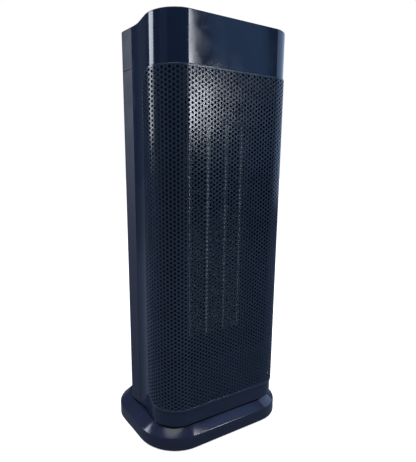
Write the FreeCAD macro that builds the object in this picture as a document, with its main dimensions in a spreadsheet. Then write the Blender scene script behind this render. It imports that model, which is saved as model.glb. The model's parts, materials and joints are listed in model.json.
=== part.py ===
import FreeCAD, Part
import math
import os
import Sketcher

# A ceramic tower heater: an oscillating tower on a low oval base. The tower holds a vertical
# blower, a ceramic heating element behind a perforated front and the controls on its top.
# Millimetres. The origin is on the floor under the middle of the base, +Z is up and the
# front of the tower faces -Y.

DOC = FreeCAD.newDocument("CeramicTowerHeater")
SHEET = DOC.addObject("Spreadsheet::Sheet", "Sizes")

DRIVING = {
    # tower
    "corner_width": (220.8, "width between the front corners before they are rounded"),
    "tower_depth": (157, "front face to flat back"),
    "tower_bottom": (34.4, "lower edge of the tower above the floor"),
    "tower_top": (560, "top of the tower above the floor"),
    "wall": (2.5, "wall of the plastic shells"),
    "front_corner": (36.3, "radius of the two front corners in plan"),
    "waist_width": (197, "width between the hollows in the two sides, before they are rounded"),
    "waist_y": (5, "how far in front of the middle the hollows are"),
    "waist_round": (60, "radius of the hollows in the sides"),
    "shell_split": (7, "how far behind the middle the front shell ends"),
    "shell_gap": (0.4, "groove between the front and rear shells"),
    "rear_width": (207, "width between the rear corners before they are rounded"),
    "rear_corner_y": (31, "how far behind the middle the rear corners are"),
    "back_width": (124, "width of the flat back before rounding"),
    "rear_corner": (10, "radius of the rear corners"),
    "back_corner": (20, "radius beside the flat back"),
    "edge_round": (1, "rounding of the top edge"),
    "cap_seam": (511, "height of the seam under the rear top cap"),
    "cap_groove": (0.8, "height and depth of the groove at that seam"),
    # front opening and grille
    "opening_bottom": (56.6, "lower edge of the grille opening"),
    "opening_top": (501.9, "upper edge of the grille opening"),
    "opening_back": (24.5, "how far in front of the middle the opening ends on each side"),
    "opening_corner": (27, "corner radius of the opening on each side"),
    "grille_proud": (1.5, "how far the grille bulges past the bezel"),
    "grille_sheet": (1.2, "thickness of the grille"),
    "grille_gap": (0.5, "gap between the grille and its opening"),
    "liner_inset": (3.5, "how far behind the shell's outer face the liner lies"),
    "liner_sheet": (1.5, "thickness of the liner"),
    "liner_back": (26, "how far in front of the middle the liner ends on each side"),
    "liner_bottom": (52, "lower end of the liner"),
    "liner_top": (506, "upper end of the liner"),
    "duct_width": (144, "clear width of the liner's duct round the element"),
    "duct_margin": (10, "how far the duct is clear of the element's frame, up and down"),
    # base
    "base_width": (237, "width of the base"),
    "base_depth": (173, "depth of the base"),
    "base_corner": (57, "corner radius of the base in plan"),
    "base_lift": (1, "lower edge of the base cover above the floor"),
    "base_wall_top": (19.5, "top of the upright wall of the base"),
    "base_top": (31, "top of the base cover"),
    "shoulder_side": (15.8, "how far the shoulder comes in at the sides"),
    "shoulder_front": (10.3, "how far the shoulder comes in at front and back"),
    "base_skin": (2.5, "wall of the base cover"),
    # swivel and its drive
    "neck_radius": (11, "outside of the hollow pivot neck"),
    "neck_bore": (7, "bore of the neck for the wires"),
    "glide_top": (32.4, "running face under the turntable"),
    "turntable_radius": (70, "radius of the turntable"),
    "crank_offset": (38, "pivot axis to motor axis"),
    "crank_throw": (21.9, "motor axis to crank pin"),
    "crank_pin": (3, "radius of the crank pin"),
    "slot_play": (1.4, "play of the pin on each side of the slot"),
    "arm_bottom": (24.4, "underside of the slotted arm"),
    "arm_thickness": (3, "thickness of the slotted arm"),
    # heating element
    "element_width": (93, "clear width between the side rails"),
    "element_bottom": (147, "lower end of the fins"),
    "element_top": (443, "upper end of the fins"),
    "element_front": (44.5, "front of the fins ahead of the middle"),
    "element_depth": (25, "depth of the fins"),
    "heater_bar": (5, "width of each heating bar"),
    "element_frame": (12, "height of the frame above and below the fins"),
    # blower
    "blower_y": (24, "blower axis behind the middle"),
    "wheel_radius": (30, "radius of the blower wheel"),
    "wheel_bottom": (158, "lower end of the wheel"),
    "wheel_height": (272, "height of the wheel"),
    "shaft_radius": (4, "radius of the blower shaft"),
    "running_fit": (0.05, "radial play of a shaft in its bearing"),
    # rear door
    "door_width": (92, "width of the rear intake window"),
    "door_bottom": (140, "lower edge of the intake window"),
    "door_top": (450, "upper edge of the intake window"),
    "door_play": (0.3, "gap round the intake door"),
    "slot_height": (3.6, "height of an intake slot"),
    "slot_pitch": (8, "pitch of the intake slots"),
    # top controls
    "panel_width": (150, "width of the control panel"),
    "panel_depth": (40, "depth of the control panel"),
    "panel_y": (36, "middle of the control panel ahead of the tower's middle"),
    "panel_top": (559, "face of the control panel"),
    "button_length": (17, "length of a button"),
    "button_width": (9, "width of a button"),
    "button_pitch": (25, "pitch of the buttons"),
    "button_top": (559.9, "top of a button at rest"),
}

for row, (alias, (amount, meaning)) in enumerate(DRIVING.items(), 1):
    SHEET.set(f"A{row}", meaning)
    SHEET.set(f"B{row}", str(amount))
    SHEET.setAlias(f"B{row}", alias)
DOC.recompute()


class Size:
    """A length that keeps its number together with the sheet expression that gives it."""

    def __init__(self, value, text=None):
        self.value = float(value)
        self.text = text if text else f"({self.value:.6g})"

    def join(self, sign, other, value):
        return Size(value, f"({self.text} {sign} {as_size(other).text})")

    def __add__(self, other):
        return self.join("+", other, self.value + as_size(other).value)

    def __sub__(self, other):
        return self.join("-", other, self.value - as_size(other).value)

    def __mul__(self, other):
        return self.join("*", other, self.value * as_size(other).value)

    def __truediv__(self, other):
        return self.join("/", other, self.value / as_size(other).value)

    def __neg__(self):
        return Size(-self.value, f"(-{self.text})")


def as_size(thing):
    return thing if isinstance(thing, Size) else Size(thing)


def size(alias):
    return Size(SHEET.get(alias), f"Sizes.{alias}")


def bind(item, prop, length):
    item.setExpression(prop, as_size(length).text)


PIECES = []


def keep(item, label):
    """Register one finished sub-part under its own label."""
    item.Label = label
    PIECES.append(item)
    return item


# ---------------------------------------------------------------- sketch and feature helpers

def new_body(label):
    return keep(DOC.addObject("PartDesign::Body", label), label)


def new_sketch(body, role, offset):
    """A sketch on one of the body's own origin planes, moved along the plane's normal."""
    sketch = body.newObject("Sketcher::SketchObject", body.Name + "_sketch")
    plane = next(item for item in body.Origin.OriginFeatures if item.Role == role)
    sketch.AttachmentSupport = [(plane, "")]
    sketch.MapMode = "FlatFace"
    bind(sketch, "AttachmentOffset.Base.z", offset)
    return sketch


def pin_point(sketch, geometry, position, x, y):
    for kind, length in (("DistanceX", as_size(x)), ("DistanceY", as_size(y))):
        rule = Sketcher.Constraint(kind, -1, 1, geometry, position, length.value)
        index = sketch.addConstraint(rule)
        sketch.setExpression(f"Constraints[{index}]", length.text)


def draw_polygon(sketch, corners):
    corners = [(as_size(x), as_size(y)) for x, y in corners]
    first = sketch.GeometryCount
    count = len(corners)
    for place, (x, y) in enumerate(corners):
        next_x, next_y = corners[(place + 1) % count]
        start = FreeCAD.Vector(x.value, y.value, 0)
        end = FreeCAD.Vector(next_x.value, next_y.value, 0)
        sketch.addGeometry(Part.LineSegment(start, end), False)
    for place, (x, y) in enumerate(corners):
        following = first + (place + 1) % count
        sketch.addConstraint(Sketcher.Constraint("Coincident", first + place, 2, following, 1))
        pin_point(sketch, first + place, 1, x, y)


def draw_circle(sketch, x, y, radius):
    radius = as_size(radius)
    centre = FreeCAD.Vector(as_size(x).value, as_size(y).value, 0)
    circle = sketch.addGeometry(Part.Circle(centre, FreeCAD.Vector(0, 0, 1), radius.value), False)
    index = sketch.addConstraint(Sketcher.Constraint("Radius", circle, radius.value))
    sketch.setExpression(f"Constraints[{index}]", radius.text)
    pin_point(sketch, circle, 3, x, y)


def box_corners(x0, x1, y0, y1):
    return [(x0, y0), (x1, y0), (x1, y1), (x0, y1)]


def mirrored(corners):
    """Close a right-hand outline, front to back, with its mirror image on the left."""
    return corners + [(-as_size(x), y) for x, y in reversed(corners)]


def add_pad(body, sketch, length):
    pad = body.newObject("PartDesign::Pad", body.Name + "_pad")
    pad.Profile = sketch
    bind(pad, "Length", length)
    DOC.recompute()
    return pad


def add_pocket(body, sketch, length, both_ways=False):
    """Cut the sketch out of the body along its plane's normal; stop if nothing was removed."""
    before = body.Tip.Shape.Volume
    pocket = body.newObject("PartDesign::Pocket", body.Name + "_pocket")
    pocket.Profile = sketch
    pocket.Midplane = both_ways
    pocket.Reversed = True
    bind(pocket, "Length", length)
    DOC.recompute()
    if pocket.Shape.Volume >= before:
        raise RuntimeError(pocket.Name + " cut nothing")
    return pocket


def add_rounding(body, radius, chosen):
    """Round the edges of the body's last feature that chosen() picks."""
    base = body.Tip
    names = [f"Edge{place}" for place, edge in enumerate(base.Shape.Edges, 1) if chosen(edge)]
    rounding = body.newObject("PartDesign::Fillet", body.Name + "_fillet")
    rounding.Base = (base, names)
    bind(rounding, "Radius", radius)
    DOC.recompute()
    if "Invalid" in rounding.State:
        raise RuntimeError(rounding.Name + " could not be rounded")
    return rounding


def runs_along(edge, axis):
    """True for a straight edge along an axis: 0 is X, 1 is Y, 2 is Z."""
    if len(edge.Vertexes) < 2:
        return False
    ends = [vertex.Point for vertex in edge.Vertexes]
    apart = [abs(ends[0][way] - ends[1][way]) for way in range(3)]
    return apart[axis] > 1e-6 and sum(apart) - apart[axis] < 1e-6


def upright_near(spots, reach=0.5):
    """Pick upright edges that stand at one of the (x, y) spots."""
    plain = [(as_size(x).value, as_size(y).value) for x, y in spots]

    def chosen(edge):
        centre = edge.CenterOfMass
        close = any(math.hypot(centre.x - x, centre.y - y) < reach for x, y in plain)
        return close and runs_along(edge, 2)
    return chosen


def both_sides(corner):
    return [corner, (-as_size(corner[0]), corner[1])]


def prism(label, corners, bottom, height, holes=()):
    """An upright pad of one polygon, with round holes given as (x, y, radius)."""
    body = new_body(label)
    sketch = new_sketch(body, "XY_Plane", bottom)
    draw_polygon(sketch, corners)
    for x, y, radius in holes:
        draw_circle(sketch, x, y, radius)
    add_pad(body, sketch, height)
    return body


def ring(label, outer, inner, bottom, height, x=0, y=0):
    """An upright tube, or a plain cylinder where inner is None."""
    body = new_body(label)
    sketch = new_sketch(body, "XY_Plane", bottom)
    draw_circle(sketch, x, y, outer)
    if inner is not None:
        draw_circle(sketch, x, y, inner)
    add_pad(body, sketch, height)
    return body


def solid_box(name, x, y, z, length, width, height):
    """A Part box from its lowest corner; its three sizes and its place follow the sheet."""
    item = DOC.addObject("Part::Box", name)
    for prop, amount in (("Length", length), ("Width", width), ("Height", height)):
        bind(item, prop, amount)
    for way, amount in (("x", x), ("y", y), ("z", z)):
        bind(item, "Placement.Base." + way, amount)
    return item


def solid_cylinder(name, x, y, z, radius, height):
    item = DOC.addObject("Part::Cylinder", name)
    bind(item, "Radius", radius)
    bind(item, "Height", height)
    for way, amount in (("x", x), ("y", y), ("z", z)):
        bind(item, "Placement.Base." + way, amount)
    return item


def group(label, members):
    """Several identical solids that stay apart in one node."""
    item = DOC.addObject("Part::Compound", label)
    item.Links = members
    return keep(item, label)


def cut(label, base, tool):
    item = DOC.addObject("Part::Cut", label)
    item.Base = base
    item.Tool = tool
    return keep(item, label)


# ---------------------------------------------------------------- outlines shared by the shells

CORNER_X = size("corner_width") / 2
HALF_DEPTH = size("tower_depth") / 2
WALL = size("wall")
WAIST_X = size("waist_width") / 2
REAR_X = size("rear_width") / 2
BACK_X = size("back_width") / 2
SEAM = size("shell_gap") / 2
TOWER_HEIGHT = size("tower_top") - size("tower_bottom")

# slopes of the sides in plan, and how far a corner moves when its two faces are offset by 1
FRONT_SLOPE = (CORNER_X - WAIST_X).value / (HALF_DEPTH - size("waist_y")).value
REAR_SLOPE = (REAR_X - WAIST_X).value / (size("rear_corner_y") + size("waist_y")).value
FRONT_TURN = math.atan(FRONT_SLOPE)
REAR_TURN = math.atan(REAR_SLOPE)
BACK_TURN = math.atan2(REAR_X.value - BACK_X.value, HALF_DEPTH.value - size("rear_corner_y").value)
FRONT_SHIFT = math.tan(math.pi / 4 + FRONT_TURN / 2)
REAR_MIDDLE = (BACK_TURN - REAR_TURN) / 2
REAR_REACH = 1 / math.cos((BACK_TURN + REAR_TURN) / 2)
BACK_SHIFT = math.tan((math.pi / 2 - BACK_TURN) / 2)


def front_corner(inset):
    return (CORNER_X - as_size(inset) * FRONT_SHIFT, -(HALF_DEPTH - inset))


def front_side(inset, y):
    """Point of the side between the front corner and the waist, at a depth position."""
    return (CORNER_X - as_size(inset) / math.cos(FRONT_TURN) - (HALF_DEPTH + y) * FRONT_SLOPE, y)


def waist(inset):
    return (WAIST_X - inset, -size("waist_y"))


def rear_side(inset, y):
    """Point of the side between the waist and the rear corner, at a depth position."""
    return (WAIST_X - as_size(inset) / math.cos(REAR_TURN) + (size("waist_y") + y) * REAR_SLOPE, y)


def rear_corner(inset):
    reach = as_size(inset) * REAR_REACH
    return (REAR_X - reach * math.cos(REAR_MIDDLE), size("rear_corner_y") - reach * math.sin(REAR_MIDDLE))


def back_corner(inset):
    return (BACK_X - as_size(inset) * BACK_SHIFT, HALF_DEPTH - inset)


def front_outline(inset, back_edge):
    """The front shell in plan: flat front, and sides that come in to the waist and out again."""
    return mirrored([front_corner(inset), waist(inset), rear_side(inset, back_edge)])


def grille_outline(inset, back_edge):
    """A sheet round the front in plan, which ends before the waist."""
    return mirrored([front_corner(inset), front_side(inset, back_edge)])


def rear_outline(inset, front_edge):
    """The rear shell in plan: sides, two slanted faces and a flat back."""
    return mirrored([rear_side(inset, front_edge), rear_corner(inset), back_corner(inset)])


def tower_outline(inset):
    """The whole tower in plan, from the front corners round to the back."""
    return mirrored([front_corner(inset), waist(inset), rear_corner(inset), back_corner(inset)])


def round_front(body, inset):
    radius = size("front_corner") - inset
    add_rounding(body, radius, upright_near(both_sides(front_corner(inset))))


def round_waist(body, inset):
    add_rounding(body, size("waist_round") + inset, upright_near(both_sides(waist(inset))))


def round_rear(body, inset):
    radius = size("rear_corner") - inset
    add_rounding(body, radius, upright_near(both_sides(rear_corner(inset))))
    radius = size("back_corner") - inset
    add_rounding(body, radius, upright_near(both_sides(back_corner(inset))))


def round_top(body):
    """Soften the outer top edge, except where it meets the other shell."""
    top = body.Shape.BoundBox.ZMax

    def chosen(edge):
        box = edge.BoundBox
        on_top = box.ZMin > top - 1e-4
        on_seam = box.YLength < 1e-4 and abs(box.YMin - size("shell_split").value) < 1
        return on_top and not on_seam
    add_rounding(body, size("edge_round"), chosen)


# ---------------------------------------------------------------- places and small sizes

# base: floor plate, feet, screws, tip-over switch
SKIN_PLAY = 0.3
PLATE_LOW = 1.5
PLATE_THICK = 2.5
PLATE_TOP = PLATE_LOW + PLATE_THICK
FOOT_RADIUS = 9
FOOT_SPOTS = [(side * 80, way * 50) for side in (-1, 1) for way in (-1, 1)]
SCREW_SPOTS = [(side * x, way * y) for side in (-1, 1) for way in (-1, 1) for x, y in ((100, 20), (40, 72))]
SCREW_HEAD = 3
SCREW_SHANK = 1.5
SCREW_LENGTH = 12
SCREW_PLAY = 0.2
BOSS_RADIUS = 5
BOSS_HEIGHT = 30
BUSH_RADIUS = 20
TIP_Y = 52
TIP_RADIUS = 2
TIP_STEM = 3
TIP_BORE = 3.4
SWITCH_SIDE = 20
SWITCH_HEIGHT = 16

# shoulder of the base: between a straight slope (bulge 0) and a quarter ellipse (bulge 1)

# swivel drive
CRANK_Y = size("crank_offset")
PIN_Y = size("crank_offset") + size("crank_throw")
GLIDE_OUTER = 62
GLIDE_INNER = 54
NUT_RADIUS = 12
NUT_HEIGHT = 2
ARM_HUB = 18
ARM_RAIL = 6
ARM_END = 71
SLOT_START = 12.6
SLOT_END = 1.2
MOTOR_RADIUS = 25
MOTOR_HEIGHT = 12.5
MOTOR_SHAFT = 3.45
SHAFT_LOW = 8
CRANK_LOW = 18
CRANK_THICK = 3.6
CRANK_HUB = 8
CRANK_WEB = 6
CRANK_TIP = 5
PIN_HEIGHT = 6.2

# tower: opening for the controls, cord, grip, floor, door
PANEL_HALF = size("panel_width") / 2
PANEL_FRONT = -(size("panel_y") + size("panel_depth") / 2)
PANEL_BACK = -(size("panel_y") - size("panel_depth") / 2)
PANEL_ROUND = 8
CUT_SPARE = 1
FLOOR_PLAY = 0.3
FLOOR_THICK = 3
CORD_X = 30
CORD_Z = 62
CORD_RADIUS = 3.6
GLAND_HOLE = 8
GLAND_SLEEVE = 7.8
GLAND_FLANGE = 10.5
GLAND_LENGTH = 8
GLAND_LIP = 2
HANDLE_HALF = 46
HANDLE_LOW = 519
HANDLE_HIGH = 547
HANDLE_REACH = 26
HANDLE_WALL = 2
HANDLE_BACK = 0.2
DOOR_SLOTS = 36
DOOR_BORDER = 10
DOOR_SIDE = 6
DOOR_RIB = 1.5
FILTER_BORDER = 3
FILTER_ENDS = 4
FILTER_THICK = 2
REAR_SCREW = 3
REAR_SCREW_HEAD = 1.2
REAR_SCREW_SPOTS = [(side * 40, height) for side in (-1, 1) for height in (112, 480)]

# heating element
ELEMENT_HEIGHT = size("element_top") - size("element_bottom")
ELEMENT_PLAY = 0.5
BAR_COUNT = 4
FRAME_RAIL = 10
FRAME_PROUD = 1
FUSE_LENGTH = 24
FUSE_SIDE = 6
THERMOSTAT_RADIUS = 9
THERMOSTAT_HEIGHT = 12
THERMOSTAT_X = 30
THERMOSTAT_Y = -32
BAFFLE_LOW = 50
BAFFLE_HIGH = 508
BAFFLE_THICK = 2
BAFFLE_PLAY = 0.4

# blower
WHEEL_TOP = size("wheel_bottom") + size("wheel_height")
FRAME_LOW = size("wheel_bottom") - 11
FRAME_HIGH = WHEEL_TOP + 10
FRAME_FRONT = -(size("element_front") - size("element_depth") - 3)
FRAME_BACK = 66
FRAME_HALF = 60
SHEET_METAL = 3
DISC_THICK = 2
BLADE_COUNT = 28
BLADE_LENGTH = 8
BLADE_TILT = math.radians(30)
BLADE_HALF = 0.5
BLADE_MARGIN = 1
MOTOR_LOW = 98
SHAFT_START = 100
SHAFT_ABOVE = 16
BLOWER_MOTOR = 34
PLATE_HOLE = 7
BEARING_RADIUS = 9
BEARING_HEIGHT = 6
MOUNT_RADIUS = 15
MOUNT_HEIGHT = 4
SCROLL = [(52, 4), (47, 22), (38, 42), (22, 58), (4, 64)]
SCROLL_FRONT = 54
SCROLL_WALL = (2, 1.2)
TONGUE_FRONT = (-54, -52)
TONGUE = [(-38, -8), (-35, 6), (-37, 6), (-40, -7)]

# electrics and controls
BUTTONS = ["power", "heat", "timer", "swing", "mode"]
KEY_PLAY = 0.3
KEY_ROW = -(size("panel_y") + 6)
KEY_DEPTH = 3.6
KEY_FLANGE = 1
KEY_FLANGE_THICK = 1.4
TACT_SIDE = 6
TACT_HEIGHT = 4.1
PANEL_THICK = 2
DISPLAY_Y = -26
DISPLAY_HALF_X = 20
DISPLAY_HALF_Y = 6
LENS_THICK = 1.6
MODULE_INSET = (1, 0.5)
MODULE_HEIGHT = 7
BOARD_THICK = 1.6
CONTROL_STACK = PANEL_THICK - 0.4 + MODULE_HEIGHT


# ---------------------------------------------------------------- base

def base_ring(side, front):
    """One level of the base in plan, as a wire of four straight edges and four arcs."""
    half_x = size("base_width").value / 2 - side
    half_y = size("base_depth").value / 2 - front
    radius = size("base_corner").value - (side + front) / 2
    plate = Part.makePlane(2 * half_x, 2 * half_y, FreeCAD.Vector(-half_x, -half_y, 0))
    slab = plate.extrude(FreeCAD.Vector(0, 0, 1))
    uprights = [edge for edge in slab.Edges if runs_along(edge, 2)]
    rounded = slab.makeFillet(radius, uprights)
    floor = min(rounded.Faces, key=lambda face: face.CenterOfMass.z)
    return Part.Wire(Part.__sortEdges__(floor.Edges))


def base_solid(shrink):
    """An upright wall under a straight slope that rises to the flat top."""
    low = size("base_lift").value
    knee = size("base_wall_top").value
    upright = base_ring(shrink, shrink)
    upright.translate(FreeCAD.Vector(0, 0, low))
    wall = Part.Face(upright).extrude(FreeCAD.Vector(0, 0, knee - low))
    wide = base_ring(shrink, shrink)
    wide.translate(FreeCAD.Vector(0, 0, knee))
    narrow = base_ring(shrink + size("shoulder_side").value, shrink + size("shoulder_front").value)
    narrow.translate(FreeCAD.Vector(0, 0, size("base_top").value - shrink))
    shoulder = Part.makeLoft([wide, narrow], True, True)
    return wall.fuse(shoulder).removeSplitter()


def make_base_cover():
    cover = DOC.addObject("Part::Feature", "base_cover")
    skin = size("base_skin").value
    hollow = base_solid(skin)
    outside = base_solid(0)
    shell = outside.cut(hollow)
    for x, y in SCREW_SPOTS:
        foot = FreeCAD.Vector(x, y, PLATE_TOP)
        boss = Part.makeCylinder(BOSS_RADIUS, BOSS_HEIGHT, foot).common(outside)
        bore = Part.makeCylinder(SCREW_SHANK, SCREW_LENGTH, foot)
        shell = shell.fuse(boss).cut(bore)
    top_hole = Part.makeCylinder(BUSH_RADIUS, BOSS_HEIGHT, FreeCAD.Vector(0, 0, PLATE_TOP))
    cover.Shape = shell.cut(top_hole)
    keep(cover, "base_cover")


def make_base_plate():
    inset = size("base_skin") + SKIN_PLAY
    half_x = size("base_width") / 2 - inset
    half_y = size("base_depth") / 2 - inset
    holes = [(0, -TIP_Y, TIP_BORE)] + [(x, y, SCREW_HEAD + SCREW_PLAY) for x, y in SCREW_SPOTS]
    plate = prism("base_plate", box_corners(-half_x, half_x, -half_y, half_y), PLATE_LOW, PLATE_THICK, holes)
    corners = [(half_x, half_y), (half_x, -half_y), (-half_x, half_y), (-half_x, -half_y)]
    add_rounding(plate, size("base_corner") - inset, upright_near(corners))


def make_base_fittings():
    feet = [solid_cylinder(f"foot_{place}", x, y, 0, FOOT_RADIUS, PLATE_LOW)
            for place, (x, y) in enumerate(FOOT_SPOTS)]
    group("rubber_feet", feet)
    screws = []
    for place, (x, y) in enumerate(SCREW_SPOTS):
        screw = DOC.addObject("Part::Fuse", f"base_screw_{place}")
        screw.Base = solid_cylinder(f"base_screw_head_{place}", x, y, PLATE_LOW, SCREW_HEAD, PLATE_THICK)
        screw.Tool = solid_cylinder(f"base_screw_shank_{place}", x, y, PLATE_LOW, SCREW_SHANK, SCREW_LENGTH)
        screws.append(screw)
    group("base_screws", screws)
    bush_low = size("arm_bottom") + size("arm_thickness") + SKIN_PLAY
    ring("pivot_bush", BUSH_RADIUS, size("neck_radius") + size("running_fit"), bush_low,
         size("glide_top") - bush_low)
    ring("glide_ring", GLIDE_OUTER, GLIDE_INNER, size("base_top"), size("glide_top") - size("base_top"))
    switch = solid_box("tip_switch_block", -SWITCH_SIDE / 2, -TIP_Y - SWITCH_SIDE / 2, PLATE_TOP,
                       SWITCH_SIDE, SWITCH_SIDE, SWITCH_HEIGHT)
    bore = solid_cylinder("tip_switch_bore", 0, -TIP_Y, 0, TIP_BORE, SWITCH_HEIGHT)
    cut("tip_switch", switch, bore)


def make_tip_plunger():
    """Feeler of the tip-over switch: its tip rests on the floor and its head is in the switch."""
    tip = solid_cylinder("plunger_tip", 0, -TIP_Y, 0, TIP_RADIUS, PLATE_TOP)
    stem = solid_cylinder("plunger_stem", 0, -TIP_Y, TIP_STEM, TIP_STEM, TIP_STEM + TIP_RADIUS)
    plunger = DOC.addObject("Part::Fuse", "tip_plunger")
    plunger.Base = tip
    plunger.Tool = stem
    keep(plunger, "tip_plunger")


# ---------------------------------------------------------------- swivel and its drive

def make_swivel():
    ring("turntable", size("turntable_radius"), size("neck_bore"), size("glide_top"),
         size("tower_bottom") - size("glide_top"))
    ring("pivot_neck", size("neck_radius"), size("neck_bore"), size("arm_bottom"),
         size("glide_top") - size("arm_bottom"))
    ring("neck_nut", NUT_RADIUS, size("neck_bore"), size("arm_bottom") - NUT_HEIGHT, NUT_HEIGHT)

    arm = new_body("drive_arm")
    sketch = new_sketch(arm, "XY_Plane", size("arm_bottom"))
    draw_circle(sketch, 0, 0, ARM_HUB)
    add_pad(arm, sketch, size("arm_thickness"))
    half = size("crank_pin") + size("slot_play")
    rail = new_sketch(arm, "XY_Plane", size("arm_bottom"))
    draw_polygon(rail, box_corners(-(half + ARM_RAIL), half + ARM_RAIL, 0, ARM_END))
    add_pad(arm, rail, size("arm_thickness"))
    slot = new_sketch(arm, "XY_Plane", size("arm_bottom"))
    draw_polygon(slot, box_corners(-half, half, SLOT_START, PIN_Y + size("crank_pin") + SLOT_END))
    add_pocket(arm, slot, size("arm_thickness"))
    bore = new_sketch(arm, "XY_Plane", size("arm_bottom"))
    draw_circle(bore, 0, 0, size("neck_radius"))
    add_pocket(arm, bore, size("arm_thickness"))


def make_swing_drive():
    ring("swing_motor", MOTOR_RADIUS, size("running_fit") + MOTOR_SHAFT, PLATE_TOP, MOTOR_HEIGHT, y=CRANK_Y)
    ring("swing_motor_shaft", MOTOR_SHAFT, None, SHAFT_LOW, CRANK_LOW + CRANK_THICK - SHAFT_LOW, y=CRANK_Y)
    crank = new_body("swing_crank")
    hub = new_sketch(crank, "XY_Plane", CRANK_LOW)
    draw_circle(hub, 0, CRANK_Y, CRANK_HUB)
    add_pad(crank, hub, CRANK_THICK)
    web = new_sketch(crank, "XY_Plane", CRANK_LOW)
    draw_polygon(web, box_corners(-CRANK_WEB, CRANK_WEB, CRANK_Y, PIN_Y + CRANK_TIP))
    add_pad(crank, web, CRANK_THICK)
    bore = new_sketch(crank, "XY_Plane", CRANK_LOW)
    draw_circle(bore, 0, CRANK_Y, MOTOR_SHAFT)
    add_pocket(crank, bore, CRANK_THICK)
    pin = new_sketch(crank, "XY_Plane", CRANK_LOW + CRANK_THICK)
    draw_circle(pin, 0, PIN_Y, size("crank_pin"))
    add_pad(crank, pin, PIN_HEIGHT)


# ---------------------------------------------------------------- tower shells

def make_front_bezel():
    """Front shell: closed at the top, with the wrap-round grille opening and the panel opening."""
    bezel = new_body("front_bezel")
    outer = new_sketch(bezel, "XY_Plane", size("tower_bottom"))
    draw_polygon(outer, front_outline(0, size("shell_split") - SEAM))
    add_pad(bezel, outer, TOWER_HEIGHT)
    inner = new_sketch(bezel, "XY_Plane", size("tower_bottom"))
    draw_polygon(inner, front_outline(WALL, size("shell_split")))
    add_pocket(bezel, inner, TOWER_HEIGHT - WALL)
    for inset in (WALL, 0):
        round_front(bezel, inset)
        round_waist(bezel, inset)
    round_top(bezel)
    opening = new_sketch(bezel, "YZ_Plane", 0)
    draw_polygon(opening, box_corners(-HALF_DEPTH * 2, -size("opening_back"),
                                      size("opening_bottom"), size("opening_top")))
    add_pocket(bezel, opening, size("corner_width") * 2, both_ways=True)
    heights = (size("opening_bottom").value, size("opening_top").value)

    def at_opening_corner(edge):
        centre = edge.CenterOfMass
        at_level = min(abs(centre.z - height) for height in heights) < 1e-3
        return at_level and runs_along(edge, 0) and abs(centre.y + size("opening_back").value) < 1e-3
    add_rounding(bezel, size("opening_corner"), at_opening_corner)
    panel = new_sketch(bezel, "XY_Plane", size("tower_top") - WALL - CUT_SPARE)
    draw_polygon(panel, box_corners(-PANEL_HALF, PANEL_HALF, PANEL_FRONT, PANEL_BACK))
    add_pocket(bezel, panel, WALL + CUT_SPARE * 2)
    add_rounding(bezel, PANEL_ROUND, panel_uprights)


def panel_uprights(edge):
    centre = edge.CenterOfMass
    in_corner = abs(abs(centre.x) - PANEL_HALF.value) < 1e-3
    on_end = min(abs(centre.y - PANEL_FRONT.value), abs(centre.y - PANEL_BACK.value)) < 1e-3
    return in_corner and on_end and runs_along(edge, 2)


def make_front_grille():
    """Thin sheet that wraps round the front; its pattern of small holes is left out."""
    grille = new_body("front_grille")
    gap = size("grille_gap")
    proud = size("grille_proud")
    bottom = size("opening_bottom") + gap
    end_y = -(size("opening_back") + gap)
    height = size("opening_top") - size("opening_bottom") - gap * 2
    sheet = new_sketch(grille, "XY_Plane", bottom)
    draw_polygon(sheet, grille_outline(-proud, end_y))
    add_pad(grille, sheet, height)
    inset = size("grille_sheet") - proud
    hollow = new_sketch(grille, "XY_Plane", bottom)
    draw_polygon(hollow, grille_outline(inset, 0))
    add_pocket(grille, hollow, height)
    add_rounding(grille, size("front_corner") - inset, upright_near(both_sides(front_corner(inset))))
    add_rounding(grille, size("front_corner") + proud, upright_near(both_sides(front_corner(-proud))))

    def at_sheet_corner(edge):
        at_end = abs(edge.CenterOfMass.y - end_y.value) < 1e-3
        return runs_along(edge, 0) and at_end and edge.Length < WALL.value * 2
    add_rounding(grille, size("opening_corner") - gap, at_sheet_corner)


def make_front_liner():
    """Dark sheet close behind the grille, with a duct through it to the heating element."""
    liner = new_body("front_liner")
    inset = size("liner_inset")
    thickness = size("liner_sheet")
    bottom = size("liner_bottom")
    height = size("liner_top") - bottom
    sheet = new_sketch(liner, "XY_Plane", bottom)
    draw_polygon(sheet, grille_outline(inset, -size("liner_back")))
    add_pad(liner, sheet, height)
    hollow = new_sketch(liner, "XY_Plane", bottom)
    draw_polygon(hollow, grille_outline(inset + thickness, 0))
    add_pocket(liner, hollow, height)
    round_front(liner, inset + thickness)
    round_front(liner, inset)
    reach = size("element_frame") + size("duct_margin")
    low = size("element_bottom") - reach
    high = size("element_top") + reach
    half = size("duct_width") / 2
    mouth = new_sketch(liner, "XZ_Plane", size("element_front"))
    draw_polygon(mouth, box_corners(-half, half, low, high))
    add_pocket(liner, mouth, HALF_DEPTH)
    outside = box_corners(-half - thickness, half + thickness, low - thickness, high + thickness)
    back = size("element_front") - ELEMENT_PLAY
    duct = new_sketch(liner, "XZ_Plane", back)
    draw_polygon(duct, outside)
    draw_polygon(duct, box_corners(-half, half, low, high))
    add_pad(liner, duct, HALF_DEPTH - inset - thickness / 2 - back)
    collar = new_sketch(liner, "XZ_Plane", back)
    draw_polygon(collar, outside)
    frame_half = size("element_width") / 2 + FRAME_RAIL + ELEMENT_PLAY
    frame_reach = size("element_frame") + ELEMENT_PLAY
    draw_polygon(collar, box_corners(-frame_half, frame_half, size("element_bottom") - frame_reach,
                                     size("element_top") + frame_reach))
    add_pad(liner, collar, thickness)


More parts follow.
